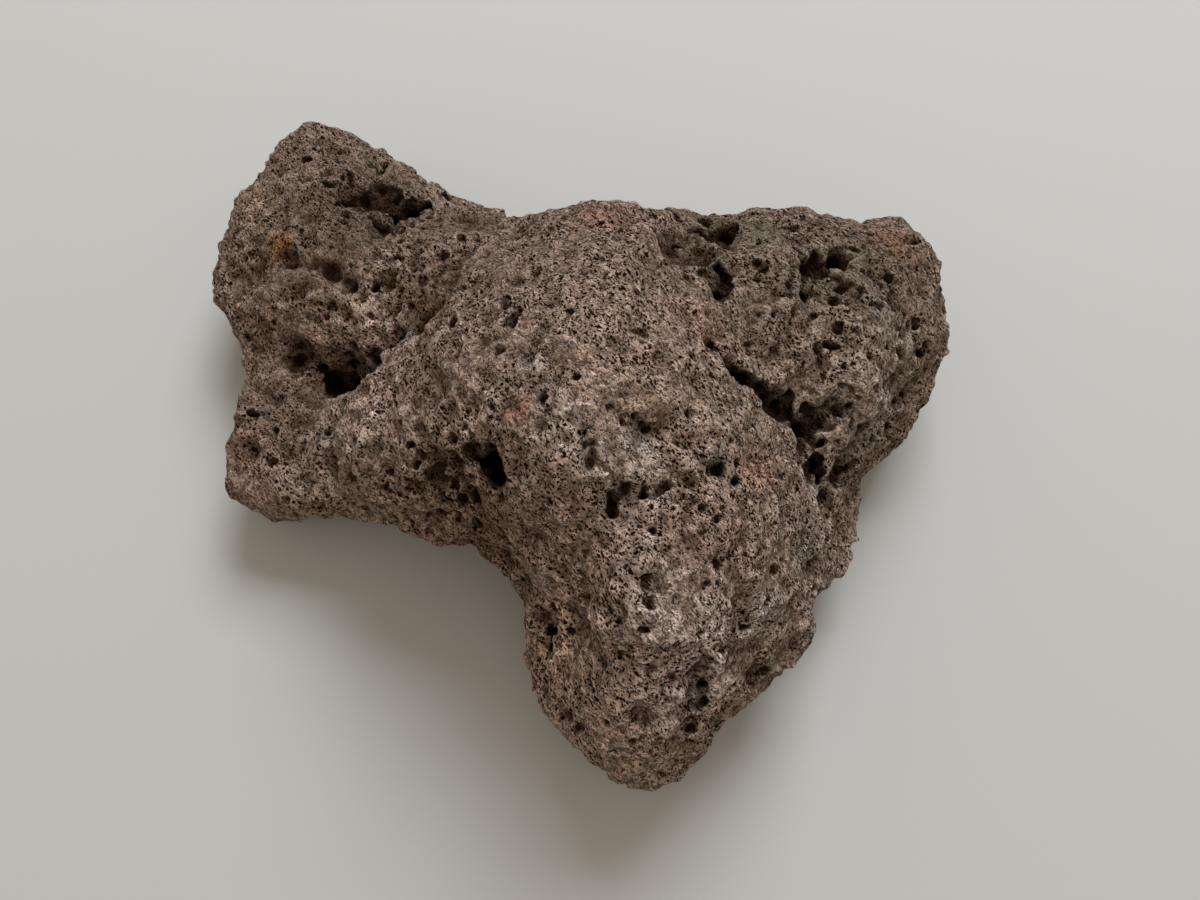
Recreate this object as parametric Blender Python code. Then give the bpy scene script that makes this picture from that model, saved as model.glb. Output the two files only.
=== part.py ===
"""Lava rock: one piece of scoria, a cindery stone full of gas bubbles.

The stone lies on four broad feet. Seen from above it has a high dome in the middle, an arm to the
back left, a low foot to the front left, a wide lobe to the right and a blunt point to the front.
Sizes are in millimetres and become metres as the meshes are made. +X runs along the length,
+Y towards the back, +Z up, and the origin is on the ground under the middle of the stone.
"""

import math
import random

import bmesh
import bpy
import numpy as np
from mathutils import Matrix, Vector
from mathutils.bvhtree import BVHTree

MM = 0.001

# The widest contour of the stone, as x, y and height, in order round the stone.
RIM = [
    # back left arm, from its peak to the saddle behind the dome
    (-58, 80, 17), (-47, 75, 18), (-38, 68, 20), (-31, 62, 22), (-25, 62, 17), (-18, 59, 17),
    # back of the dome
    (-12, 52, 22), (-2, 50, 27), (7, 50, 29), (18, 48, 29), (28, 49, 27),
    # right lobe and the flank under it
    (41, 51, 25), (49, 52, 22), (54, 50, 21), (66, 54, 20), (74, 50, 19), (74, 35, 19),
    (72, 20, 19), (69, 14, 17), (64, 5, 14), (56, -1, 12), (54, -12, 12), (52, -20, 12),
    # right edge of the front lobe
    (42, -26, 15), (43, -32, 20), (40, -38, 18), (30, -43, 16), (25, -47, 14), (21, -53, 13),
    (14, -58, 14), (8, -58, 14),
    # left edge of the front lobe, up to the corner under the dome
    (2, -55, 13), (-4, -49, 13), (-7, -43, 13), (-10, -36, 14), (-10, -27, 19),
    # flank of the nose and the front left foot
    (-14, -20, 22), (-22, -18, 22), (-30, -15, 21), (-39, -12, 18), (-48, -10, 15),
    (-56, -10, 14), (-65, -8, 13), (-71, -4, 13), (-71, 4, 14), (-68, 12, 15), (-67, 20, 16),
    # left side of the back left arm
    (-71, 27, 17), (-76, 35, 17), (-78, 42, 16), (-76, 52, 16), (-73, 61, 16), (-68, 69, 16),
    (-64, 76, 16),
]

# Heights of the upper surface, as x, y and height.
TOP = [
    # dome
    (3, -4, 60), (-9, 9, 56), (9, 19, 54), (3, 34, 47), (3, 43, 40), (-8, 34, 42),
    (18, -2, 55), (16, -21, 54), (24, -17, 50), (29, -24, 42), (37, -22, 31),
    # front lobe
    (10, -34, 49), (6, -37, 45), (10, -45, 40), (9, -54, 27), (25, -42, 31), (35, -37, 23),
    # left flank of the dome
    (-5, -16, 52), (-3, -29, 33), (-7, -35, 21), (-9, -42, 18),
    # nose, a rounded spur to the left of the dome
    (-21, -3, 45), (-34, -1, 38), (-42, 0, 31), (-37, -7, 33), (-24, -11, 36), (-33, -11, 31),
    # front left foot and the pocket behind it
    (-46, -2, 24), (-59, -2, 20), (-64, 4, 19), (-48, 18, 19), (-57, 19, 21), (-58, 25, 25),
    (-47, 25, 27),
    # back left arm and the saddle that joins it to the dome
    (-37, 23, 32), (-55, 31, 28), (-69, 38, 21), (-50, 51, 30), (-62, 53, 27), (-56, 72, 24),
    (-38, 54, 24), (-28, 37, 37), (-20, 36, 38), (-27, 52, 26), (-22, 56, 19), (-14, 43, 32),
    # right lobe, with the bowl and the gully between it and the dome
    (21, 34, 40), (26, 40, 36), (20, 6, 51), (30, 12, 40), (38, 22, 41), (32, 34, 40),
    (46, 14, 39), (58, 26, 35), (66, 22, 28), (41, 43, 34), (57, 41, 31), (66, 40, 26),
    (54, 6, 31), (45, 1, 29), (38, -8, 33),
    # smooth flank under the right lobe
    (61, 5, 16), (54, -4, 15), (49, -13, 14),
]

# Ridges and valleys on the upper surface: how far each rises or sinks, its half width, and the
# points that it runs through from above.
FOLDS = [
    # crease down the dome's front, the knob on its left and the crease across its foot
    (-1.8, 2.5, [(-6, -1), (-3, -5), (-1, -7), (3, -10), (5, -14), (5, -19)]),
    (1.5, 4, [(-4, -9), (-1, -14), (0, -18)]),
    (-2.0, 2.2, [(5, -17), (9, -16), (14, -16), (17, -17), (20, -16)]),
    # ledge of the upper plateau, the fold under it and the shallow bowl beside that
    (1.4, 3, [(-1, -3), (3, -4), (9, -4), (15, -4), (21, -2)]),
    (-2.4, 2.2, [(5, -8), (9, -9), (13, -9)]),
    (-2.0, 3.5, [(12, -13), (16, -12)]),
    # right edge of the dome, over the gully
    (1.6, 2.8, [(18, 7), (25, 4), (27, 0), (25, -4), (22, -8)]),
    # ridge down the front lobe, the valley on its left, the step under it and the lobe's corner
    (2.8, 3.2, [(6, -26), (7, -31), (9, -36), (18, -37)]),
    (-3.5, 3, [(-1, -27), (1, -32), (1, -36), (1, -40)]),
    (-2.2, 2.2, [(9, -41), (17, -41)]),
    (1.6, 3, [(30, -29), (37, -30)]),
    # spur to the left of the dome, and the dip between it and the front left foot
    (2.0, 3.0, [(-42, 4), (-41, -3), (-37, -7), (-29, -8), (-20, -7)]),
    (-2.6, 2.4, [(-46, 6), (-47, 0), (-46, -6)]),
    # trough between the dome and the saddle
    (-2.6, 2.6, [(-22, 32), (-25, 23), (-30, 18), (-36, 17)]),
    # front edge of the hollow in the arm, and the dip in the arm's left side
    (1.6, 2.4, [(-49, 43), (-46, 41), (-40, 39), (-35, 41)]),
    (-2.2, 4, [(-66, 27), (-62, 24)]),
    # curved ledge round the scoop on the right lobe
    (1.4, 2, [(38, 14), (42, 18), (46, 20), (51, 18)]),
]

# Heights of the underside. A foot reaches below the ground here, and is cut flat at it.
UNDER = [
    # feet: front left, back left, right and front
    (-58, 2, -5), (-60, 60, -4), (56, 30, -6), (12, -42, -5),
    # arches between them
    (-60, 30, 6), (-40, 5, 7), (-30, 30, 9), (-35, 55, 6), (-10, 40, 9), (0, 15, 11), (-15, -5, 12),
    (20, 30, 8), (28, 0, 8), (40, -12, 7), (2, -20, 8), (30, -30, 4),
]

# Burst bubbles and hollows: x, y and height of the middle, then the half widths along x, y and z.
HOLLOWS = [
    # bubble hollow in the back left arm, and the deep hole on its far side
    (-44, 55, 31, 8, 7, 10), (-36, 51, 27, 4, 3, 8), (-32, 53, 25, 3, 2, 5), (-38, 44, 31, 3, 4, 5),
    (-47, 47, 34, 3, 4, 4), (-54, 44, 32, 3, 2, 3),
    # pocket between the front left foot and the arm
    (-47, 17, 22, 6, 5, 6), (-47, 15, 15, 3, 3, 6), (-40, 16, 25, 4, 5, 5), (-55, 20, 22, 5, 4, 4),
    (-37, 14, 30, 3, 3, 5),
    # bowl between the dome and the right lobe
    (20, 31, 46, 7, 7, 7), (16, 33, 42, 3, 3, 5), (26, 39, 38, 4, 4, 7), (24, 24, 44, 2, 5, 7),
    # cluster of thin-walled bubbles on the right lobe
    (42, 29, 42, 4, 4, 5), (47, 32, 40, 3, 3, 5), (41, 22, 42, 3, 2, 3), (35, 23, 42, 2, 2, 4),
    (53, 29, 38, 3, 2, 3), (58, 31, 36, 2, 3, 3),
    # smooth scoop beside it, and pits on the lobe's edge
    (47, 11, 42, 6, 7, 5), (64, 17, 29, 3, 3, 4), (60, 10, 28, 3, 2, 4),
    # gully between the dome and the right lobe
    (34, 4, 38, 4, 3, 7), (41, 2, 34, 4, 3, 5), (42, -4, 30, 3, 3, 5), (45, -9, 26, 3, 4, 4),
    # dark pit beside the dome, with the scooped shadow to its left
    (-13, -10, 45, 3, 4, 7), (-20, -13, 38, 5, 3, 4), (-28, -13, 34, 6, 3, 4),
    # cavity under the dome's left corner and notches in the front lobe
    (-6, -33, 24, 2, 5, 6), (19, -43, 37, 3, 4, 6), (31, -40, 25, 4, 3, 3), (7, -56, 24, 2, 2, 3),
    (-3, -46, 20, 3, 3, 3), (8, -45, 41, 3, 2, 3), (23, -37, 39, 3, 2, 3),
]

# Cracks and ledges: the points that each runs through from above, its half width and its depth.
CREVICES = [
    # crack that parts the dome from the right lobe
    ([(20, 11), (22, 9), (27, 7), (29, 5), (33, 4), (37, 1), (41, -2), (43, -6), (45, -11)], 1.6, 7),
    ([(45, -11), (43, -19), (41, -25)], 1.5, 4),
    # step between the right lobe and the smooth flank under it
    ([(60, 11), (55, 4), (49, -1), (46, -6)], 1.6, 4),
    # ledges and grooves on the arm and the saddle
    ([(-67, 40), (-61, 40), (-54, 36), (-49, 35), (-45, 31), (-41, 29)], 1.5, 4),
    ([(-21, 28), (-23, 22), (-26, 19), (-31, 18), (-37, 19)], 1.8, 4),
    # crease across the dome and steps down the front lobe
    ([(3, -20), (7, -17), (13, -17), (19, -14), (22, -12)], 1.5, 3),
    ([(5, -30), (5, -36), (7, -41)], 1.6, 3),
    ([(-1, -29), (1, -34), (4, -39)], 1.8, 4),
    ([(20, -38), (19, -43), (18, -47), (16, -51)], 1.6, 5),
    # ledge on the right lobe, and the cracks before its edge
    ([(45, 18), (42, 14), (41, 10)], 1.5, 3),
    ([(37, 5), (43, 6), (50, 4)], 1.5, 4),
    # edge of the nose over the foot
    ([(-44, 8), (-46, 1), (-44, -7), (-38, -13)], 1.8, 4),
]

# Small pits all over, and how many times as close they lie in the cindery spots (x, y and radius).
PIT_COUNT = 210
PIT_RADII = (1.6, 2.9)
PIT_RAISE = 0.1
PIT_SEED = 11
CINDERY = 5
CINDERY_SPOTS = [(-42, 56, 14), (45, 27, 17), (42, -2, 10), (-48, 18, 10), (20, 33, 10)]

# Width and height of the swellings on the surface, from broad to fine.
KNOBS = (15, 3.0)
BUMPS = (8, 1.8)
GRAIN = (5, 1.6)

# How far in from the rim the top and the underside take to round over.
EDGE_ROUND = 9
UNDER_ROUND = 22

# The slab that the mass starts as, and the cells in which the surface is rebuilt.
SLAB_HALF = 8
LEAST_RISE = 1
CORE_VOXEL = 1.5
CORE_SOFTENING = 6
CUTTER_VOXEL = 0.8
FINE_VOXEL = 1.1
TRIANGLES = 9700

# A crack is a chain of bubbles, each this much longer than half of its step.
CHAIN_OVERLAP = 1.4
SKY = 100


def clear_scene():
    for thing in list(bpy.data.objects):
        bpy.data.objects.remove(thing)


def new_object(name, form):
    """An object in the scene that holds a bmesh given in millimetres."""
    mesh = bpy.data.meshes.new(name)
    form.transform(Matrix.Scale(MM, 4))
    form.to_mesh(mesh)
    form.free()
    made = bpy.data.objects.new(name, mesh)
    bpy.context.scene.collection.objects.link(made)
    return made


def settle(stone):
    """Turn the stone and the modifiers on it into one plain mesh."""
    graph = bpy.context.evaluated_depsgraph_get()
    mesh = bpy.data.meshes.new_from_object(stone.evaluated_get(graph))
    stone.modifiers.clear()
    stone.data = mesh


def melt(stone, voxel, smooth_rounds):
    """Rebuild the surface in even cells, which fuses all that overlaps, then soften it."""
    remesh = stone.modifiers.new("melt", "REMESH")
    remesh.mode = "VOXEL"
    remesh.voxel_size = voxel * MM
    smooth = stone.modifiers.new("soften", "SMOOTH")
    smooth.iterations = smooth_rounds
    settle(stone)


def vertex_places(stone):
    places = np.empty(len(stone.data.vertices) * 3)
    stone.data.vertices.foreach_get("co", places)
    return places.reshape(-1, 3) / MM


def move_vertices(stone, places):
    stone.data.vertices.foreach_set("co", (places * MM).ravel())
    stone.data.update()


def surface_through(spots):
    """A smooth function of x and y that passes through each spot's height (a thin plate)."""
    spots = np.array(spots, float)
    count = len(spots)

    def plate(gap):
        return gap ** 2 * np.log(gap + 1e-9)

    def slope_terms(places):
        return np.c_[np.ones(len(places)), places]

    across = spots[:, None, :2] - spots[None, :, :2]
    system = np.zeros((count + 3, count + 3))
    system[:count, :count] = plate(np.linalg.norm(across, axis=2))
    system[:count, count:] = slope_terms(spots[:, :2])
    system[count:, :count] = system[:count, count:].T
    weights = np.linalg.solve(system, np.r_[spots[:, 2], np.zeros(3)])

    def height(places):
        gaps = np.linalg.norm(places[:, None, :] - spots[None, :, :2], axis=2)
        return plate(gaps) @ weights[:count] + slope_terms(places) @ weights[count:]

    return height


def nearest_on(line, places):
    """For each place seen from above: how far it is from a line, and the nearest point of that."""
    points = np.array(line, float)
    steps = np.diff(points, axis=0)
    offset = places[:, None, :] - points[None, :-1, :2]
    share = (offset * steps[None, :, :2]).sum(2) / (steps[:, :2] ** 2).sum(1)
    foot = points[None, :-1] + np.clip(share, 0, 1)[:, :, None] * steps[None]
    gaps = np.linalg.norm(places[:, None, :] - foot[:, :, :2], axis=2)
    best = gaps.argmin(1)
    rows = np.arange(len(places))
    return gaps[rows, best], foot[rows, best]


def folding(places):
    """How far the ridges and valleys raise or sink each place seen from above."""
    total = np.zeros(len(places))
    for rise, half_width, line in FOLDS:
        gap, foot = nearest_on(line, places)
        total += rise * np.exp(-(gap / half_width) ** 2)
    return total


def rounding(gap, radius):
    """Rises from 0 at the rim to 1 at `radius` in from it, as a quarter circle does."""
    inward = 1 - np.clip(gap / radius, 0, 1)
    return np.sqrt(1 - inward ** 2)


def core():
    """The stone's mass: a slab cut to the rim, whose faces are moved to the top and under heights."""
    form = bmesh.new()
    outline = form.faces.new([form.verts.new((x, y, -SLAB_HALF)) for x, y, z in RIM])
    raised = bmesh.ops.extrude_face_region(form, geom=[outline])["geom"]
    lifted = [item for item in raised if isinstance(item, bmesh.types.BMVert)]
    bmesh.ops.translate(form, verts=lifted, vec=(0, 0, 2 * SLAB_HALF))
    bmesh.ops.recalc_face_normals(form, faces=form.faces)
    stone = new_object("lava_rock", form)
    melt(stone, CORE_VOXEL, 0)

    places = vertex_places(stone)
    level = np.clip(places[:, 2] / SLAB_HALF, -1, 1)
    above = places[:, :2]
    gap, foot = nearest_on(RIM + RIM[:1], above)
    rim_height = foot[:, 2]
    top = np.maximum(surface_through(TOP)(above) + folding(above), rim_height + LEAST_RISE)
    under = np.minimum(surface_through(UNDER)(above), rim_height - LEAST_RISE)
    up = (top - rim_height) * rounding(gap, EDGE_ROUND)
    down = (rim_height - under) * rounding(gap, UNDER_ROUND)
    places[:, 2] = rim_height + level * np.where(level > 0, up, down)
    move_vertices(stone, places)
    melt(stone, CORE_VOXEL, CORE_SOFTENING)
    return stone


def roughen(stone, name, kind, width, height):
    """Swell and sink the surface by a solid pattern of the given width and height."""
    pattern = bpy.data.textures.new(name, kind)
    pattern.noise_scale = width * MM
    push = stone.modifiers.new(name, "DISPLACE")
    push.texture = pattern
    push.texture_coords = "LOCAL"
    push.strength = height * MM
    push.mid_level = 0.5
    settle(stone)


def add_bubble(form, middle, radii, turn=None):
    """A round cutter with the given half widths, turned by a matrix if one is given."""
    shape = Matrix.LocRotScale(Vector(middle), turn, Vector(radii))
    bmesh.ops.create_icosphere(form, subdivisions=2, radius=1, matrix=shape)


def pit_weight(face):
    """How likely a pit is on this face: by its area, and more in the cindery spots."""
    x, y = face.center.x / MM, face.center.y / MM
    for middle_x, middle_y, radius in CINDERY_SPOTS:
        if math.hypot(x - middle_x, y - middle_y) < radius:
            return face.area * CINDERY
    return face.area


def cutters(stone):
    """Every bubble, pit and crack that is cut from the stone, fused into one object."""
    tree = BVHTree.FromObject(stone, bpy.context.evaluated_depsgraph_get())
    form = bmesh.new()
    for x, y, z, *radii in HOLLOWS:
        add_bubble(form, (x, y, z), radii)
    for line, half_width, depth in CREVICES:
        for start, end in zip(line, line[1:]):
            start, end = Vector(start), Vector(end)
            middle = (start + end) / 2
            surface = tree.ray_cast(Vector((*middle, SKY)) * MM, Vector((0, 0, -1)))[0]
            run = Vector((*(end - start), 0))
            turn = run.to_track_quat("X", "Z")
            radii = (run.length / 2 * CHAIN_OVERLAP, half_width, depth)
            add_bubble(form, (*middle, surface.z / MM), radii, turn)
    draw = random.Random(PIT_SEED)
    faces = stone.data.polygons
    for face in draw.choices(faces, weights=[pit_weight(face) for face in faces], k=PIT_COUNT):
        radius = draw.uniform(*PIT_RADII)
        middle = Vector(face.center) / MM + Vector(face.normal) * radius * PIT_RAISE
        add_bubble(form, middle, (radius, radius, radius))
    cutter = new_object("cutters", form)
    cutter.hide_render = True
    cutter.display_type = "WIRE"
    melt(cutter, CUTTER_VOXEL, 0)
    return cutter


def carve(stone):
    cut = stone.modifiers.new("carve", "BOOLEAN")
    cut.operation = "DIFFERENCE"
    cut.object = cutters(stone)
    settle(stone)
    melt(stone, FINE_VOXEL, 1)


def keep_largest(stone):
    """Delete any crumb cut free by the carving, and any pit that a foot's flat face has closed."""
    form = bmesh.new()
    form.from_mesh(stone.data)
    left = set(form.verts)
    bodies = []
    while left:
        body = {left.pop()}
        edge_of_body = list(body)
        while edge_of_body:
            vertex = edge_of_body.pop()
            near = {edge.other_vert(vertex) for edge in vertex.link_edges} & left
            left -= near
            body |= near
            edge_of_body.extend(near)
        bodies.append(body)
    largest = max(bodies, key=len)
    crumbs = [vertex for vertex in form.verts if vertex not in largest]
    bmesh.ops.delete(form, geom=crumbs, context="VERTS")
    form.to_mesh(stone.data)
    form.free()


def thin(stone):
    """Bring the mesh down to the triangles that its form needs."""
    faces = sum(len(face.vertices) - 2 for face in stone.data.polygons)
    thinning = stone.modifiers.new("thin", "DECIMATE")
    thinning.ratio = TRIANGLES / faces
    thinning.use_collapse_triangulate = True
    settle(stone)


def flatten_feet(stone):
    """Cut off all that reaches below the ground, and close the feet with flat faces."""
    form = bmesh.new()
    form.from_mesh(stone.data)
    everything = form.verts[:] + form.edges[:] + form.faces[:]
    bmesh.ops.bisect_plane(form, geom=everything, dist=1e-6, plane_co=(0, 0, 0),
                           plane_no=(0, 0, 1), clear_inner=True)
    open_edges = [edge for edge in form.edges if edge.is_boundary]
    bmesh.ops.holes_fill(form, edges=open_edges, sides=0)
    bmesh.ops.triangulate(form, faces=form.faces)
    form.to_mesh(stone.data)
    form.free()


def centre(stone):
    """Bring the middle of the stone's box, seen from above, over the origin."""
    places = vertex_places(stone)
    middle = (places.min(0) + places.max(0)) / 2
    places[:, :2] -= middle[:2]
    move_vertices(stone, places)


def scoria():
    """Dull purple-brown cinder."""
    finish = bpy.data.materials.new("scoria")
    finish.use_nodes = True
    shader = finish.node_tree.nodes["Principled BSDF"]
    shader.inputs["Base Color"].default_value = (0.15, 0.10, 0.08, 1)
    shader.inputs["Roughness"].default_value = 0.95
    shader.inputs["Metallic"].default_value = 0
    return finish


def build():
    clear_scene()
    stone = core()
    roughen(stone, "knobs", "CLOUDS", *KNOBS)
    roughen(stone, "bumps", "STUCCI", *BUMPS)
    carve(stone)
    roughen(stone, "grain", "CLOUDS", *GRAIN)
    thin(stone)
    flatten_feet(stone)
    keep_largest(stone)
    centre(stone)
    stone.data.materials.append(scoria())


build()
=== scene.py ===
"""The looks of a piece of lava rock: a fist-wide, dull purple-brown cinder full of burst gas bubbles.
It is one natural piece of stone, lying on its feet on a plain pale floor."""
import math

import bpy
import numpy as np
from mathutils import Matrix, Vector
from mathutils.bvhtree import BVHTree


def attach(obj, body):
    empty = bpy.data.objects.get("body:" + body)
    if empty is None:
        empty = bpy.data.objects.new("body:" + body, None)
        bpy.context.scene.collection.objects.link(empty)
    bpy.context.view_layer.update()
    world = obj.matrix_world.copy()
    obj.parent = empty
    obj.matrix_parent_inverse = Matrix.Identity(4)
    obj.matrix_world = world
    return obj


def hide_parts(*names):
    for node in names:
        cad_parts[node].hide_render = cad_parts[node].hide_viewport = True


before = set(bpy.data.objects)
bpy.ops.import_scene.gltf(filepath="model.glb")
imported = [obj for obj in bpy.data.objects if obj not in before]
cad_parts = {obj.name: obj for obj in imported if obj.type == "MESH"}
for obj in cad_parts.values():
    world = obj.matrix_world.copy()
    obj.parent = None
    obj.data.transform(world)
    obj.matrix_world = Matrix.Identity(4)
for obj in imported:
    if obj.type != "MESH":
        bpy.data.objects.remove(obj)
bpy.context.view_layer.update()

# ===================================================================================================
# The stone. One lump of frothy lava that froze as it tore: a domed back with lobes and feet round it.
# Its mass, large hollows and ledges come from the solid. Here its skin is rebuilt in fine cells, so
# that it can hold the knobs, bubbles and cracks which a coarse solid can't.
MM = 0.001
STONE_NODE = "lava_rock"
COARSE_CELL = 0.8
ROUNDS_TO_SOFTEN = 2
MIDDLE_CELL = 0.55


def select_only(thing):
    bpy.ops.object.select_all(action="DESELECT")
    thing.select_set(True)
    bpy.context.view_layer.objects.active = thing


def apply_modifier(thing, kind, **settings):
    """Add one modifier with these settings and apply it."""
    select_only(thing)
    made = thing.modifiers.new(kind.lower(), kind)
    for name, value in settings.items():
        setattr(made, name, value)
    bpy.ops.object.modifier_apply(modifier=made.name)


def remesh(thing, cell):
    """Rebuild the skin as one closed surface of square cells of this size in millimetres."""
    apply_modifier(thing, "REMESH", mode="VOXEL", voxel_size=cell * MM)


def swell(thing, kind, width, height, **look):
    """Raise and sink the skin by a solid pattern of this width and height in millimetres."""
    pattern = bpy.data.textures.new(kind.lower(), kind)
    pattern.noise_scale = width * MM
    for name, value in look.items():
        setattr(pattern, name, value)
    apply_modifier(thing, "DISPLACE", texture=pattern, texture_coords="LOCAL",
                   strength=height * MM, mid_level=0.5)


def copy_of(thing):
    """A second object with a mesh of its own."""
    made = thing.copy()
    made.data = thing.data.copy()
    bpy.context.scene.collection.objects.link(made)
    return made


stone = copy_of(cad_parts[STONE_NODE])
stone.name = "stone"
stone.parent = None
select_only(stone)
bpy.ops.object.mode_set(mode="EDIT")
bpy.ops.mesh.select_all(action="SELECT")
bpy.ops.mesh.remove_doubles(threshold=1e-6)
bpy.ops.object.mode_set(mode="OBJECT")
remesh(stone, COARSE_CELL)
apply_modifier(stone, "SMOOTH", factor=0.5, iterations=ROUNDS_TO_SOFTEN)

# Broken bubble walls: shallow cups set close, with sharp ridges where they meet.
swell(stone, "VORONOI", 5.5, 0.8, distance_metric="DISTANCE_SQUARED", noise_intensity=1.1)
remesh(stone, MIDDLE_CELL)
swell(stone, "MUSGRAVE", 6.0, 0.8, musgrave_type="RIDGED_MULTIFRACTAL", octaves=2)
swell(stone, "CLOUDS", 2.8, 0.9, noise_depth=2)
remesh(stone, MIDDLE_CELL)
swell(stone, "VORONOI", 2.0, 0.8, distance_metric="DISTANCE_SQUARED", noise_intensity=1.1)

# Scoops broader than one bubble: x, y, half width and depth in millimetres.
SCOOPS = [
    # under the brow left of the dark pit
    (-14.5, -18.5, 2.2, 3.5), (-18, -19, 2.8, 2.6), (-22, -19.5, 2.8, 2.4), (-26, -20.5, 2.3, 1.8),
    # back left arm
    (-40, 46, 4.5, 2.5), (-34.5, 43.5, 3.2, 3), (-35, 37, 3, 2), (-34, 19, 3.2, 1.8),
    (-29, 23, 3, 1.5),
    # cave under the brow of the pocket
    (-47.5, 7, 2.6, 3.5), (-43, 7, 2.2, 3), (-38, 3, 2, 2.5),
    # bowl between the dome and the right lobe
    (20, 26, 4, 2.5), (24, 22, 3, 2.4), (27, 15.5, 2, 2.5), (29, 30, 3, 2.5),
    # froth of the right lobe
    (44, 20, 3.4, 1.5), (48.5, 22, 2.5, 2.4), (60, 14, 4, 1.5),
    # gully on the right of the dome
    (31, -4, 2, 3.5), (37, -6.5, 2.2, 2.5), (42, -8, 2.4, 2.4), (44.5, -13, 2.4, 2.4),
    (46.5, -18, 2, 2),
    # front lobe
    (-3, -43, 1.6, 2), (3, -60, 3, 1.5),
]

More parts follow.
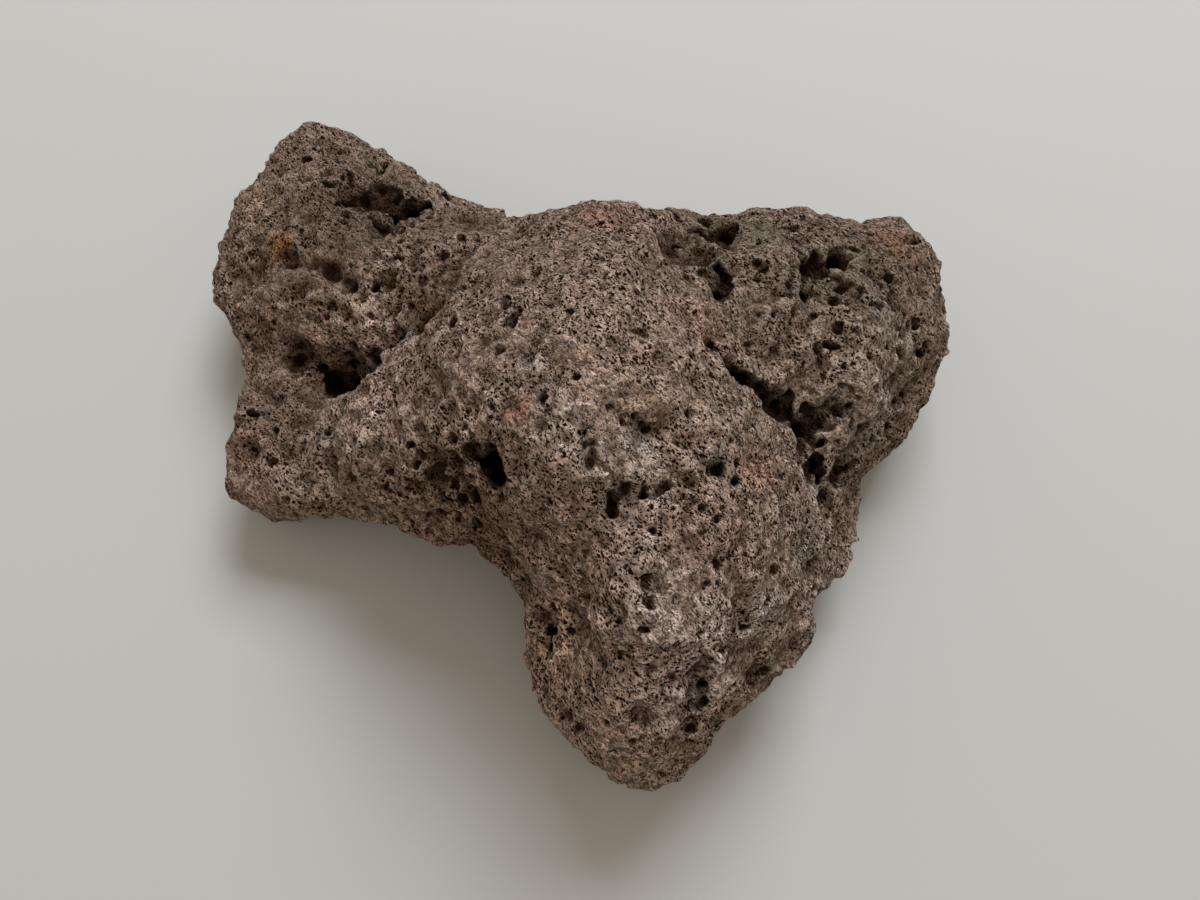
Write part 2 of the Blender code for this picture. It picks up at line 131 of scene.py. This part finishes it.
# Burst bubbles with a place of their own: x, y, half width and depth in millimetres. Each drops onto
# the skin from above.
BUBBLES = [
    # hollow in the back left arm
    (-34, 42.5, 2.2, 7), (-31, 44, 1.9, 6), (-33.5, 31.5, 1.5, 4), (-40.5, 49.5, 1.1, 3),
    (-37.5, 47.5, 1.3, 4), (-39, 36.5, 1.5, 4), (-44, 34, 1.1, 3), (-44, 45.5, 1.2, 3),
    (-46, 48.5, 1.0, 2), (-38.5, 42.5, 1.4, 5), (-42, 45, 1.0, 4), (-36, 42, 1.5, 6),
    (-36.5, 18.5, 1.2, 3), (-33, 17.5, 1.2, 3), (-52.5, 32.5, 0.9, 3),
    # pocket and front left foot
    (-46.5, 6.5, 1.7, 6), (-34.5, 1, 1.5, 5), (-37.5, 9, 1.1, 4), (-49.5, 9, 1.2, 3),
    (-42, 10.5, 1.2, 4), (-54, 10.5, 1.4, 3), (-62.5, -0.5, 1.0, 3), (-57, -4.5, 0.9, 2),
    (-57, -10.5, 1.1, 2), (-38, -20, 0.9, 2), (-46, -6, 0.9, 2),
    # dark pit beside the dome and the scoop to its left
    (-11.5, -18, 1.9, 7), (-11, -20, 1.7, 7), (-18, -16, 1.1, 3), (-13, -19, 1.4, 5),
    (-25.5, -17.5, 0.9, 3), (-22.5, -20, 1.5, 2), (-19, -21, 1.4, 2), (-15.5, -21.5, 1.2, 2),
    # dome
    (11, 5, 1.0, 3), (10.5, -3, 0.7, 2), (11.5, -5, 0.8, 2), (-19, 4, 1.1, 2), (5.5, 23.5, 0.9, 2),
    (5.5, 12, 0.8, 2), (12, -18.5, 0.9, 2), (14.5, -19, 0.8, 2), (8.5, -18, 0.8, 2),
    (9, -26.5, 1.0, 2), (7, -30, 1.1, 3), (15, -26.5, 0.9, 2), (23, -23, 1.3, 3),
    (21.5, -23.5, 1.0, 2), (33.5, -23, 1.0, 3), (30.5, -31.5, 0.7, 2), (25.5, -34, 0.8, 2),
    (23, -39.5, 0.8, 2), (29, -38.5, 0.8, 2),
    # bowl between the dome and the right lobe
    (18.5, 24, 1.2, 4), (28.5, 30.5, 1.8, 5), (28.5, 23.5, 1.2, 4), (26, 32, 1.3, 4),
    (26, 19, 1.0, 5), (27, 17, 1.2, 5), (27.5, 14, 1.3, 5), (26, 13.5, 1.0, 4), (24, 30, 1.2, 3),
    # thin-walled bubbles on the right lobe
    (43, 19.5, 1.3, 6), (44.5, 22, 1.2, 5), (44, 20.5, 1.0, 5), (48.5, 22.5, 1.6, 6),
    (46, 18.5, 1.0, 4), (49, 19.5, 0.8, 3), (47, 12.5, 1.3, 3), (38, 12.5, 0.8, 4),
    (41.5, 13, 1.3, 5), (35.5, 9, 1.0, 4), (39, 9.5, 0.9, 4), (37, 7, 0.5, 2), (38.5, 15, 0.6, 3),
    (41, 14.5, 0.6, 3), (36.5, 12.5, 0.5, 2), (44.5, 13.5, 0.5, 2), (42.5, 10.5, 0.5, 2),
    (41.5, 20.5, 0.7, 2), (42.5, 9.5, 0.5, 2), (49, 16, 0.6, 2), (52.5, 19, 0.8, 3),
    (55, 19, 0.9, 3), (58.5, 20, 1.0, 3), (65, 24.5, 0.9, 3), (60.5, 19.5, 0.6, 2),
    (52.5, 12, 0.6, 2),
    # right rim
    (65.5, 8, 1.3, 4), (63.5, 11.5, 1.0, 3), (63.5, 2.5, 1.0, 3), (62, 1, 0.9, 3), (61, -3, 0.8, 2),
    # gully
    (24, -1.5, 1.2, 5), (27.5, -3, 1.8, 7), (29.5, -3.5, 1.7, 7), (33.5, -4.5, 1.6, 6),
    (41, -8, 1.5, 6), (34, -4.5, 1.2, 5), (36, -5, 1.3, 5), (38.5, -6, 1.2, 5), (43, -6, 1.4, 4),
    (45, -6.5, 1.0, 3), (44, -10.5, 1.3, 5), (44.5, -13.5, 1.3, 5), (45.5, -14.5, 1.0, 4),
    (47, -18.5, 1.0, 4), (49.5, -4.5, 0.9, 3), (47.5, -4.5, 0.7, 2),
    # front lobe
    (-3.5, -42.5, 1.3, 5), (-3, -45, 1.4, 5), (-5.5, -39.5, 1.1, 3), (21.5, -53, 1.3, 5),
    (22, -55, 1.4, 5), (20.5, -59, 0.9, 3), (20, -61, 0.8, 3), (12, -46.5, 0.8, 3),
    (13, -54, 0.7, 3), (11.5, -56, 1.2, 2), (9, -65.5, 0.9, 3), (33.5, -50, 1.2, 3),
    (27.5, -47.5, 0.9, 3), (25, -47.5, 1.2, 2), (-1.5, -57, 0.9, 3), (1, -59, 0.8, 3),
    (6, -58.5, 0.7, 2), (8, -54, 0.7, 2), (-3, -36.5, 0.7, 2), (3, -34.5, 0.8, 2),
    (41.5, -40, 1.0, 3), (33.5, -41.5, 0.7, 2), (30.5, -43.5, 0.8, 2), (27.5, -42.5, 0.7, 2),
]

# Cracks: half width, depth, then the points that each one runs through.
CRACKS = [
    (0.8, 6, [(22.5, 1), (24.5, -2), (28, -3), (30, -4), (33, -5), (36, -5), (38.5, -6.5),
              (41, -8.5), (43.5, -11.5), (44.5, -15), (46, -18)]),
    (0.5, 3, [(-65, 29), (-60, 29), (-52, 25), (-47, 24), (-43.5, 21), (-40, 18)]),
    (0.6, 3, [(-18.5, 16), (-20.5, 12), (-23.5, 8), (-28.5, 7), (-34.5, 8)]),
    (0.5, 3, [(46.5, 6), (43.5, 3), (42.5, -1)]),
    (0.8, 3, [(8, -27), (12, -27.5), (16, -26.5), (19, -28.5)]),
    (0.9, 3, [(9, -17), (11.5, -18), (12, -18.5)]),
    (0.8, 3, [(21.5, -51), (21.5, -54), (20.5, -57), (19.5, -60)]),
    (0.7, 2.5, [(7.5, -42), (7.5, -47), (9.5, -51), (17, -52), (20, -51)]),
    (0.6, 2.5, [(40.5, -7), (45.5, -5), (52.5, -6)]),
    (0.6, 2.5, [(62.5, 0), (57.5, -7), (51.5, -12), (47.5, -16), (47.5, -21), (45.5, -30), (43.5, -36)]),
    (0.7, 2.5, [(-41.5, -5), (-42.5, -11), (-41.5, -17), (-35.5, -24)]),
    (0.7, 2.5, [(2.5, -20.5), (5, -23.5), (7, -26), (7, -31)]),
]

# A crack is a chain of bubbles: their spacing and how far they stray in millimetres, and how much
# wider and deeper than the crack one may be.
SPACING_IN_CRACK = 0.7
WANDER_IN_CRACK = 0.45
WIDER_IN_CRACK = (0.35, 1.15)
DEEPER_IN_CRACK = (0.4, 1.2)

# Loose bubbles all over: how many, the half width of the smallest and largest in millimetres, how
# strongly the small ones outnumber the large, and how deep they are for their half width.
LOOSE = 5200
LOOSE_HALF = (0.42, 1.4)
LOOSE_FALL = 7
LOOSE_DEPTH = (1.1, 2.6)

# Frothier places: x, y, reach in millimetres, and how many more bubbles they hold than the rest.
FROTHY = [
    (-40, 44, 9, 14), (-33, 37, 6, 10), (-33, 22, 7, 8), (-20, -18, 6, 8), (24, 23, 6, 10),
    (-43, 8, 8, 6), (45, 18, 9, 14), (26, 20, 8, 6), (42, -6, 7, 8), (58, 12, 10, 4),
    (-4, -43, 6, 5), (-22, -22, 8, 4), (48, -8, 7, 6), (28, -30, 8, 2), (20, -56, 7, 4),
]
SEED = 5

# The skin before it is pierced, and a softer one that passes over its knobs.
SOFT_CELL = 2
ROUNDS_FOR_SOFT_SKIN = 30

draw = np.random.default_rng(SEED)
skin = BVHTree.FromObject(stone, bpy.context.evaluated_depsgraph_get())
softened = copy_of(stone)
remesh(softened, SOFT_CELL)
apply_modifier(softened, "SMOOTH", factor=0.5, iterations=ROUNDS_FOR_SOFT_SKIN)
softened_skin = BVHTree.FromObject(softened, bpy.context.evaluated_depsgraph_get())
bpy.data.objects.remove(softened)
holes = []


def sink(x, y, half, depth):
    """Note one hole at this place on the top of the skin, its half width and depth in millimetres."""
    place, normal, face, drop = skin.ray_cast(Vector((x * MM, y * MM, 1)), Vector((0, 0, -1)))
    if place is not None:
        holes.append((place, (normal + Vector((0, 0, 1))).normalized(), half, depth))


for hollow in SCOOPS + BUBBLES:
    sink(*hollow)
for half, depth, points in CRACKS:
    for (x1, y1), (x2, y2) in zip(points, points[1:]):
        steps = max(1, round(math.hypot(x2 - x1, y2 - y1) / SPACING_IN_CRACK))
        for step in range(steps):
            share = step / steps
            wander = draw.normal(0, WANDER_IN_CRACK, 2)
            sink(x1 + (x2 - x1) * share + wander[0], y1 + (y2 - y1) * share + wander[1],
                 half * draw.uniform(*WIDER_IN_CRACK), depth * draw.uniform(*DEEPER_IN_CRACK))

faces = stone.data.polygons
middles = np.empty(len(faces) * 3)
faces.foreach_get("center", middles)
middles = middles.reshape(-1, 3)
areas = np.empty(len(faces))
faces.foreach_get("area", areas)
froth = np.ones(len(faces))
for x, y, reach, more in FROTHY:
    gap = np.hypot(middles[:, 0] / MM - x, middles[:, 1] / MM - y)
    froth += more * np.exp(-(gap / reach) ** 2)
odds = areas * froth
for index in draw.choice(len(faces), LOOSE, p=odds / odds.sum()):
    face = faces[int(index)]
    half = LOOSE_HALF[0] + (LOOSE_HALF[1] - LOOSE_HALF[0]) * draw.random() ** LOOSE_FALL
    holes.append((face.center.copy(), face.normal.copy(), half, half * draw.uniform(*LOOSE_DEPTH)))


# Each hole is a ball, narrower one way by up to this much, its points pushed in or out by up to this.
FINE_CELL = 0.38
CUTTER_CELL = FINE_CELL * 0.75
NARROWEST = 0.65
UNEVEN = 0.15


def ball():
    """The points and triangles of a ball of one unit."""
    bpy.ops.mesh.primitive_ico_sphere_add(subdivisions=2, radius=1)
    made = bpy.context.object
    points = np.array([vertex.co for vertex in made.data.vertices])
    corners = np.array([face.vertices for face in made.data.polygons])
    bpy.data.objects.remove(made)
    return points, corners


def cutter(holes):
    """One closed mesh of all the holes, each a ball out of round that reaches inward."""
    points, corners = ball()
    all_points = []
    all_corners = []
    for place, outward, half, depth in holes:
        turn = outward.to_track_quat("Z", "Y").to_matrix()
        turn = turn @ Matrix.Rotation(draw.uniform(0, math.pi), 3, "Z")
        shape = points * (half * draw.uniform(NARROWEST, 1), half, depth) * MM
        shape = shape * draw.uniform(1 - UNEVEN, 1 + UNEVEN, (len(points), 1))
        all_corners.append(corners + len(points) * len(all_points))
        all_points.append(shape @ np.array(turn).T + np.array(place))
    mesh = bpy.data.meshes.new("holes")
    mesh.from_pydata(np.concatenate(all_points), [], np.concatenate(all_corners))
    made = bpy.data.objects.new("holes", mesh)
    bpy.context.scene.collection.objects.link(made)
    remesh(made, CUTTER_CELL)
    swell(made, "CLOUDS", 3, 1.2)
    swell(made, "CLOUDS", 1.0, 0.7)
    return made


tool = cutter(holes)
apply_modifier(stone, "BOOLEAN", operation="DIFFERENCE", solver="MANIFOLD", object=tool)
bpy.data.objects.remove(tool)
remesh(stone, FINE_CELL)
swell(stone, "CLOUDS", 1.1, 0.6, noise_depth=2)

# Its feet stand on the ground and don't go under it. They are cut this far above it, in millimetres.
GROUND_GAP = 0.05
bpy.ops.mesh.primitive_cube_add(size=1, location=(0, 0, GROUND_GAP * MM - 0.5))
ground = bpy.context.object
apply_modifier(stone, "BOOLEAN", operation="DIFFERENCE", solver="MANIFOLD", object=ground)
bpy.data.objects.remove(ground)

# Crumbs that hang on nothing go, and the side that faces the ground takes fewer triangles.
MOST_TRIANGLES = 197000
FACES_DOWN = -0.1
PULL_ON_TOP = 0.5
PULL_BELOW = 1
PULL_FACTOR = 3e-4
SHARP_EDGE = 40
select_only(stone)
bpy.ops.mesh.separate(type="LOOSE")
bodies = sorted(bpy.context.selected_objects, key=lambda body: len(body.data.vertices))
for crumb in bodies[:-1]:
    bpy.data.objects.remove(crumb)
stone = bodies[-1]
stone.name = "stone"
triangles = sum(len(face.vertices) - 2 for face in stone.data.polygons)
facing = np.empty(len(stone.data.vertices) * 3)
stone.data.vertices.foreach_get("normal", facing)
upward = facing[2::3]
plain = stone.vertex_groups.new(name="plain")
plain.add(np.flatnonzero(upward > FACES_DOWN).tolist(), PULL_ON_TOP, "REPLACE")
plain.add(np.flatnonzero(upward <= FACES_DOWN).tolist(), PULL_BELOW, "REPLACE")
apply_modifier(stone, "DECIMATE", ratio=min(1, MOST_TRIANGLES / triangles),
               use_collapse_triangulate=True, vertex_group="plain", vertex_group_factor=PULL_FACTOR)
stone.vertex_groups.clear()
select_only(stone)
bpy.ops.object.shade_smooth_by_angle(angle=math.radians(SHARP_EDGE))


def places_and_normals(thing):
    """The place and the normal of every point of a mesh."""
    places = np.empty(len(thing.data.vertices) * 3)
    normals = np.empty(len(thing.data.vertices) * 3)
    thing.data.vertices.foreach_get("co", places)
    thing.data.vertices.foreach_get("normal", normals)
    return places.reshape(-1, 3), normals.reshape(-1, 3)


def mark(thing, name, values):
    """Store one number for each point of a mesh, for its material to read."""
    thing.data.attributes.new(name, "FLOAT", "POINT").data.foreach_set("value", values)


# Relief: how far each point stands out from a softened copy of the stone, in millimetres.
ROUNDS_FOR_RELIEF = 14
softened = copy_of(stone)
apply_modifier(softened, "SMOOTH", factor=0.5, iterations=ROUNDS_FOR_RELIEF)
places, normals = places_and_normals(stone)
soft_places, soft_normals = places_and_normals(softened)
bpy.data.objects.remove(softened)
mark(stone, "relief", ((places - soft_places) * soft_normals).sum(1) / MM)

# Depth: how far each point lies under the softened skin, in millimetres.
deep = np.empty(len(places))
for index, point in enumerate(places):
    near_point, outward, face, gap = softened_skin.find_nearest(point)
    deep[index] = (near_point - Vector(point)).dot(outward) / MM
mark(stone, "depth", deep)


# Scoria: dull cinder glass, purple-brown, rusty where air reached it hot, pierced by pinholes.
class Finish:
    """A material whose nodes are wired one by one."""

    def __init__(self, name):
        self.material = bpy.data.materials.new(name)
        self.material.use_nodes = True
        self.tree = self.material.node_tree
        self.shader = self.tree.nodes["Principled BSDF"]

    def add(self, kind, sockets=None, **settings):
        """One node with these settings. A socket takes a value or another node's output."""
        made = self.tree.nodes.new(kind)
        for name, value in settings.items():
            setattr(made, name, value)
        for name, value in (sockets or {}).items():
            socket = made.inputs[name]
            if isinstance(value, bpy.types.NodeSocket):
                self.tree.links.new(value, socket)
            else:
                socket.default_value = value
        return made.outputs

    def math(self, operation, first, second):
        """A sum, product or the like of two numbers."""
        return self.add("ShaderNodeMath", {0: first, 1: second}, operation=operation)[0]

    def vector(self, operation, first, second, output="Vector"):
        """A sum, product or the like of two places."""
        return self.add("ShaderNodeVectorMath", {0: first, 1: second}, operation=operation)[output]

    def blend(self, share, first, second, how="MIX"):
        """The first colour, turned into the second by this share."""
        sockets = {"Factor": share, 6: first, 7: second}
        return self.add("ShaderNodeMix", sockets, data_type="RGBA", blend_type=how)[2]

    def ramp(self, value, low, high, first=0.0, second=1.0):
        """Ease from first to second as the value goes from low to high."""
        sockets = {"Value": value, "From Min": low, "From Max": high,
                   "To Min": first, "To Max": second}
        return self.add("ShaderNodeMapRange", sockets, interpolation_type="SMOOTHSTEP")[0]

    def noise(self, place, width, detail=2.0, rough=0.5):
        """A cloudy value, its lumps this many millimetres wide."""
        sockets = {"Vector": place, "Scale": 1 / width, "Detail": detail, "Roughness": rough}
        return self.add("ShaderNodeTexNoise", sockets)


scoria = Finish("scoria")
where = scoria.add("ShaderNodeTexCoord")["Object"]
place = scoria.vector("DIVIDE", where, (MM, MM, MM))


def swayed(place, width, reach):
    """The place, pushed about so that round shapes drawn on it turn ragged."""
    push = scoria.noise(place, width, 1.0)["Color"]
    push = scoria.vector("SUBTRACT", push, (0.5, 0.5, 0.5))
    return scoria.vector("ADD", place, scoria.vector("MULTIPLY", push, (reach, reach, reach)))


def cells(place, spacing):
    """Cells this far apart: the distance from each cell's middle, and three values drawn for it."""
    found = scoria.add("ShaderNodeTexVoronoi", {"Vector": place, "Scale": 1 / spacing})
    return found["Distance"], scoria.add("ShaderNodeSeparateColor", {0: found["Color"]})


def pinholes(place, spacing, share, half, edge):
    """Holes this far apart, which the colour fills with painted shade. Share of the cells have one, up
    to half a cell wide.
    """
    gap, lot = cells(place, spacing)
    size = scoria.math("MULTIPLY", scoria.ramp(lot[0], 0, 1, 0.45, 1.0), half)
    size = scoria.math("MULTIPLY", size, scoria.math("LESS_THAN", lot[1], share))
    inner = scoria.math("SUBTRACT", size, edge)
    return scoria.ramp(gap, inner, size, 1.0, 0.0)


# The lava was still creeping as it froze, which drew the bubbles out along the flow.
drawn_out = scoria.add("ShaderNodeMapping", {"Vector": place, "Rotation": (0, 0, math.radians(-50)),
                                             "Scale": (1.5, 1, 1)}, vector_type="TEXTURE")[0]
ragged = swayed(drawn_out, width=0.45, reach=0.9)
fine = pinholes(ragged, spacing=0.34, share=0.86, half=0.71, edge=0.16)
wider_sway = swayed(drawn_out, width=0.6, reach=0.8)
middling = pinholes(wider_sway, spacing=0.8, share=0.4, half=0.46, edge=0.1)
holed = scoria.math("MAXIMUM", fine, middling)
crust = scoria.ramp(scoria.noise(place, 9)[0], 0.50, 0.62)
holed = scoria.math("MULTIPLY", holed, scoria.ramp(crust, 0, 1, 1.0, 0.75))

# Crumbs of glass between the pinholes, some of them pale, on lumps a few crumbs wide.
crumb_gap, crumb_lot = cells(ragged, 0.28)
lumps = scoria.noise(drawn_out, 1.8, 4.0, 0.75)[0]
flecks = scoria.math("MULTIPLY", scoria.ramp(crumb_lot[2], 0.45, 1.0),
                     scoria.ramp(crumb_gap, 0.2, 0.6, 1.0, 0.3))

# How far crumbs and lumps stand up and pinholes sink, in millimetres.
CRUMB_RISE = 0.4
LUMP_RISE = 3.0
PINHOLE_SINK = 0.3
height = scoria.math("ADD", scoria.math("MULTIPLY", crumb_lot[2], CRUMB_RISE),
                     scoria.math("MULTIPLY", lumps, LUMP_RISE))
height = scoria.math("SUBTRACT", height, scoria.math("MULTIPLY", holed, PINHOLE_SINK))
bump = scoria.add("ShaderNodeBump", {"Height": height, "Distance": MM, "Strength": 1.0})[0]

OLIVE = (0.495, 0.351, 0.259, 1)
RUST = (0.545, 0.371, 0.287, 1)
# pale crumbs of glass, and the painted highlight on points that stand out
PALE_AND_HIGHLIGHT = (0.95, 0.79, 0.68, 1)
# painted shade for the low parts of the lumps
LUMP_SHADE = (0.095, 0.056, 0.036, 1)
# painted shade for recesses
RECESS_SHADE = (0.055, 0.026, 0.012, 1)
# painted shade for holes
HOLE_SHADE = (0.020, 0.007, 0.002, 1)
relief = scoria.add("ShaderNodeAttribute", attribute_name="relief")["Fac"]
depth = scoria.add("ShaderNodeAttribute", attribute_name="depth")["Fac"]
rusty = scoria.ramp(scoria.noise(place, 6, 3.0)[0], 0.42, 0.58)
colour = scoria.blend(rusty, OLIVE, RUST)
colour = scoria.blend(flecks, colour, PALE_AND_HIGHLIGHT)
# Painted shade: the low parts of the lumps are darkened.
colour = scoria.blend(scoria.ramp(lumps, 0.40, 0.58, 0.55, 0.0), colour, LUMP_SHADE)
# Painted shade: points that lie below the softened copy are darkened.
colour = scoria.blend(scoria.ramp(relief, -0.5, 0.05, 0.85, 0.0), colour, RECESS_SHADE)
# Painted highlight: points that stand out from the softened copy are lightened.
colour = scoria.blend(scoria.ramp(relief, 0.0, 0.35, 0.0, 0.25), colour, PALE_AND_HIGHLIGHT)

# Places with a tone of their own, and places lightened or darkened as painted light and shade: x, y,
# reach in millimetres, and what the colour is multiplied by.
TONES_AND_PAINTED_LIGHT = [
    # darker, browner arm, foot and right lobe
    (-50, 42, 32, (0.46, 0.44, 0.40)), (-60, -2, 20, (0.66, 0.62, 0.58)),
    (54, 20, 26, (0.50, 0.53, 0.46)),
    # darker back slopes and saddle: painted shade in the saddle's groove and on the slopes
    (27, 32, 14, (0.62, 0.62, 0.52)), (-20, 35, 11, (0.40, 0.42, 0.36)),
    (-25, 15, 12, (0.50, 0.48, 0.40)), (-28, 30, 9, (0.72, 0.72, 0.66)),
    (-41, 32, 9, (0.58, 0.60, 0.56)), (34, 17, 8, (0.60, 0.62, 0.58)),
    (-9, 10, 14, (0.84, 0.84, 0.82)), (16, 11, 9, (0.74, 0.76, 0.72)),
    (-7, -10, 9, (0.72, 0.76, 0.76)), (28, -8, 14, (0.85, 0.88, 0.84)),
    (64, 4, 5, (0.78, 0.78, 0.74)),
    # browner round the pocket and the left foot, with painted shade in the cave under the pocket's brow
    (-48, 22, 9, (0.66, 0.62, 0.54)), (-60, 16, 7, (0.68, 0.60, 0.54)),
    (-48, 7, 8, (0.66, 0.56, 0.44)), (-50, -6, 8, (0.84, 0.86, 0.82)),
    # olive hollows: tinted olive, and darkened as painted shade in the hollows
    (-39, 44, 9, (0.42, 0.48, 0.42)), (-32, 38, 6, (0.40, 0.42, 0.40)),
    (-33, 19, 7, (0.75, 0.84, 0.72)), (24, 22, 7, (0.60, 0.68, 0.62)),
    (28, 9, 7, (0.72, 0.76, 0.68)), (43, 18, 8, (0.95, 1.02, 0.94)),
    (-20, -19, 9, (0.70, 0.66, 0.58)), (-14, -27, 6, (0.55, 0.48, 0.38)),
    (-22, -34, 16, (0.95, 0.78, 0.60)),
    # greyer flanks and lobe top
    (58, -14, 12, (0.66, 0.68, 0.64)), (41, -28, 12, (0.90, 1.02, 1.06)),
    (36, 28, 9, (0.66, 0.78, 0.76)), (23, -22, 4, (0.75, 0.90, 0.95)),
    (11, -20, 4, (0.72, 0.85, 0.88)),
    # lighter rims and lobes: painted light, lifting sides that the lamp leaves in shade
    (-63, 42, 12, (1.65, 1.65, 1.60)), (-54, 50, 9, (1.40, 1.40, 1.45)),
    (-63, 29, 8, (1.35, 1.35, 1.40)), (58, 6, 13, (1.45, 1.60, 1.70)),
    (54, -6, 8, (1.45, 1.65, 1.80)), (48, 19, 9, (1.25, 1.30, 1.36)),
    (47, 5, 9, (1.20, 1.24, 1.24)), (45, -6, 9, (1.60, 1.75, 1.80)),
    (45, -17, 8, (1.45, 1.60, 1.65)), (-37, 12, 9, (1.90, 2.0, 2.15)),
    (-48, 14, 7, (1.75, 1.80, 1.90)), (-34, -9, 10, (1.48, 1.55, 1.65)),
    (-15, -13, 7, (1.75, 1.85, 2.0)), (-26, -18, 6, (1.20, 1.25, 1.25)),
    (0, -19, 7, (1.35, 1.55, 1.75)), (10, -25, 9, (1.30, 1.48, 1.62)),
    (12, -12, 36, (1.14, 1.14, 1.15)), (16, -44, 18, (1.30, 1.38, 1.50)),
    (10, -60, 15, (1.45, 1.48, 1.52)), (15, -55, 9, (1.28, 1.36, 1.52)),
    (-1, -44, 10, (2.10, 2.12, 2.10)), (-2, -52, 8, (1.55, 1.57, 1.60)),
    (0, -33, 7, (1.40, 1.42, 1.45)), (23, -51, 8, (1.80, 1.95, 2.25)),
    (32, -43, 7, (1.50, 1.75, 1.95)),
    # pink and rusty patches
    (22, 2, 8, (1.15, 0.98, 0.96)), (5, 25, 8, (1.05, 0.85, 0.80)),
    (30, -21, 6, (1.20, 0.94, 0.88)), (20, -33, 10, (0.90, 0.80, 0.80)),
    (5, -38, 5, (1.20, 1.15, 1.15)), (-36, -3, 7, (1.20, 1.15, 1.10)),
    (-7, -15, 4, (1.10, 0.78, 0.70)), (-62, -9, 7, (1.05, 0.88, 0.86)),
    (63, 31, 11, (1.15, 0.92, 0.84)),
    # ochre stain, pale crusts
    (-57, 31, 4.5, (1.55, 1.12, 0.50)), (-5, -8, 3, (1.3, 1.50, 1.7)),
    (-6, -25, 3, (1.3, 1.45, 1.5)),
]
mottle = scoria.ramp(lumps, 0.38, 0.60, 0.55, 1.0)
from_above = scoria.vector("MULTIPLY", place, (1, 1, 0))
for x, y, reach, tone in TONES_AND_PAINTED_LIGHT:
    gap = scoria.vector("DISTANCE", from_above, (x, y, 0), "Value")
    share = scoria.math("MULTIPLY", scoria.ramp(gap, 0.0, reach, 1.0, 0.0), mottle)
    colour = scoria.blend(share, colour, (*tone, 1), "MULTIPLY")

# Painted shade: points under the soft skin darken with their depth.
colour = scoria.blend(scoria.ramp(depth, -0.2, 2.3, 0.0, 0.85), colour, RECESS_SHADE)
# Painted shade: the deepest points turn near black.
colour = scoria.blend(scoria.ramp(depth, 1.8, 5.5, 0.0, 0.92), colour, HOLE_SHADE)
# Painted shade: the pinholes are filled near black.
colour = scoria.blend(holed, colour, HOLE_SHADE)
scoria.tree.links.new(colour, scoria.shader.inputs["Base Color"])
scoria.tree.links.new(bump, scoria.shader.inputs["Normal"])
scoria.shader.inputs["Roughness"].default_value = 0.92
scoria.shader.inputs["Diffuse Roughness"].default_value = 1.0
scoria.shader.inputs["Specular IOR Level"].default_value = 0.02

stone.data.materials.clear()
stone.data.materials.append(scoria.material)
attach(stone, "root")
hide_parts(STONE_NODE)

# ===================================================================================================
# The stage: a plain pale floor, one large soft light from behind, and a bright even room.
bpy.ops.mesh.primitive_plane_add(size=4, location=(0, 0, 0))
floor = bpy.context.object
floor.name = "floor"
floor_finish = Finish("floor")
floor_finish.shader.inputs["Base Color"].default_value = (0.55, 0.545, 0.52, 1)
floor_finish.shader.inputs["Roughness"].default_value = 0.95
floor.data.materials.append(floor_finish.material)

WINDOW_PLACE = Vector((0.28, 0.95, 1.0))
window_data = bpy.data.lights.new("window", "AREA")
window_data.shape = "RECTANGLE"
window_data.size = 0.8
window_data.size_y = 0.6
window_data.energy = 17
window_data.color = (0.94, 1.0, 1.08)
window = bpy.data.objects.new("window", window_data)
window.location = WINDOW_PLACE
window.rotation_euler = (-WINDOW_PLACE).to_track_quat("-Z", "Y").to_euler()
bpy.context.scene.collection.objects.link(window)
room = bpy.data.worlds.new("room")
room.use_nodes = True
room.node_tree.nodes["Background"].inputs["Color"].default_value = (1, 0.9, 0.77, 1)
room.node_tree.nodes["Background"].inputs["Strength"].default_value = 0.45
bpy.context.scene.world = room
bpy.context.scene.view_settings.view_transform = "Standard"

# ===================================================================================================
# The camera: a wide lens a hand's length above the stone and a little in front, looking steeply down.
camera_data = bpy.data.cameras.new("camera")
camera_data.lens = 26
camera_data.sensor_width = 36
camera_data.clip_start = 0.01
camera = bpy.data.objects.new("camera", camera_data)
camera.location = Vector((5.3, -64.7, 173.7)) * MM
camera.rotation_euler = (math.radians(20), 0, 0)
bpy.context.scene.collection.objects.link(camera)
bpy.context.scene.camera = camera
